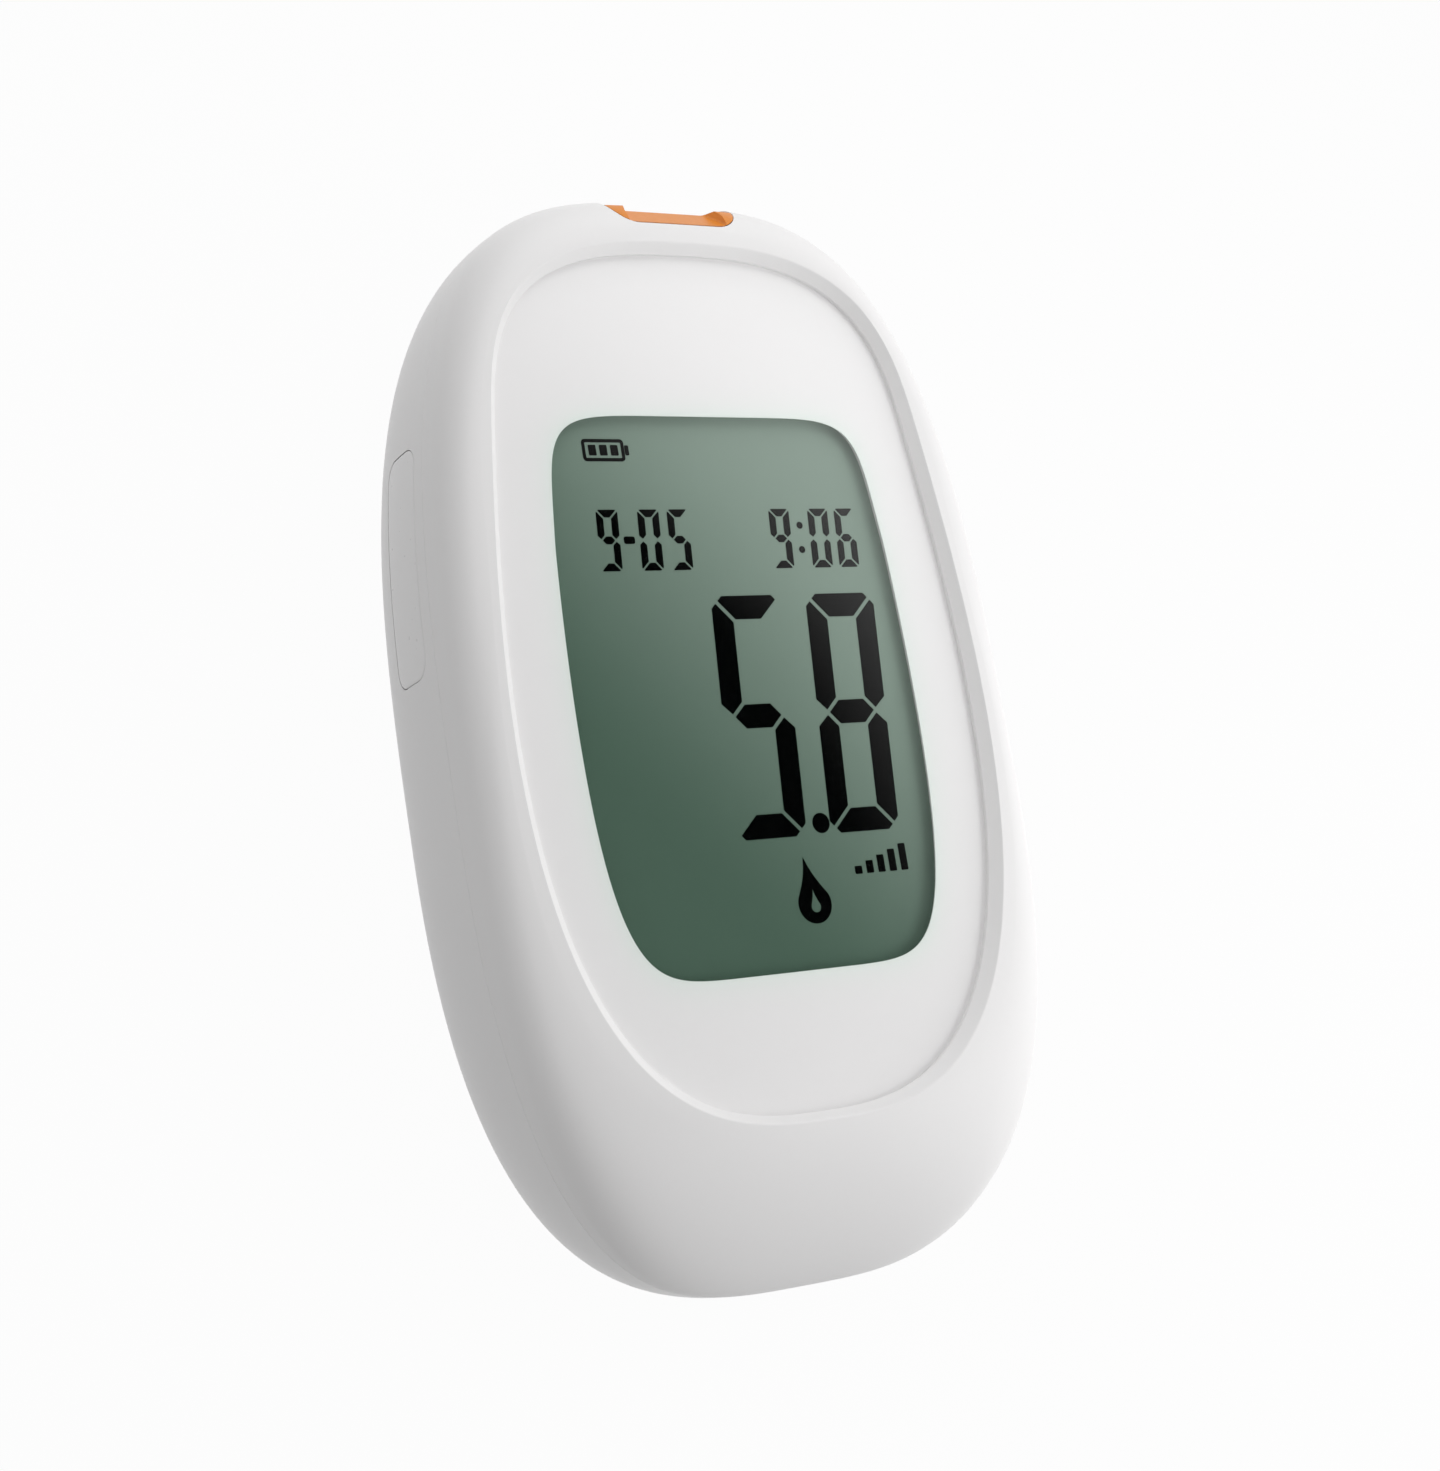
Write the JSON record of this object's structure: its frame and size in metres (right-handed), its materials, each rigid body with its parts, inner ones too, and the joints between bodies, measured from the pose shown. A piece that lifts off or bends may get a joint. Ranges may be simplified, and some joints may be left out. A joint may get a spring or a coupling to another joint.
{
  "type": "blood glucose meter",
  "caption": "Palm-sized oval glucose meter: domed two-shell case, recessed clear panel over a segment display, strip port at the top end, side key, slide-off battery cover.",
  "frame": {"origin": "middle of the bounding box on the plane of the flat back", "axes": "+Z out of the display, +Y towards the strip port, +X to the right of someone reading the display"},
  "size_m": [0.056, 0.0964, 0.021],
  "materials": {
    "shell_plastic": "white moulded ABS, fine satin gloss",
    "key_plastic": "white moulded ABS, satin",
    "panel_clear": "clear acrylic, hard coated",
    "panel_print": "white screen print on film",
    "tape": "white double-sided tape",
    "display_film": "grey-green reflective polariser",
    "display_glass": "float glass",
    "frame_plastic": "natural moulded plastic",
    "zebra_rubber": "layered silicone",
    "board": "green solder mask",
    "black_plastic": "black moulded plastic",
    "ceramic": "fired ceramic",
    "port_orange": "orange moulded ABS",
    "contact_gold": "gold plated spring bronze",
    "cell_jacket": "printed shrink sleeve on a steel can",
    "plated_steel": "nickel plated",
    "screw_steel": "zinc plated"
  },
  "bodies": {
    "housing": {"front_shell": "shell_plastic", "rear_shell": "shell_plastic", "display_lens": "panel_clear", "printed_film": "panel_print", "lens_tape": "tape", "front_polariser": "display_film", "front_glass": "display_glass", "rear_glass": "display_glass", "rear_reflector": "display_film", "display_frame": "frame_plastic", "zebra_connector": "zebra_rubber", "main_board": "board", "processor": "black_plastic", "crystal": "plated_steel", "capacitors": "ceramic", "buzzer": "black_plastic", "switch_body": "black_plastic", "strip_port": "port_orange", "strip_connector": "frame_plastic", "strip_contacts": "contact_gold", "left_cell": "cell_jacket", "right_cell": "cell_jacket", "contact_springs": "plated_steel", "contact_plates": "plated_steel", "contact_bridge": "plated_steel", "housing_screws": "screw_steel"},
    "key": {"side_key": "key_plastic", "switch_stem": "frame_plastic"},
    "cover": {"battery_cover": "shell_plastic"}
  },
  "joints": [
    {"name": "key_press", "type": "slide", "parent": "housing", "child": "key", "axis": [1, 0, 0], "range_m": [0, 0.0006], "stiffness_N_per_m": 3000},
    {"name": "cover_slide", "type": "slide", "parent": "housing", "child": "cover", "axis": [0, -1, 0], "range_m": [0, 0.05]}
  ]
}
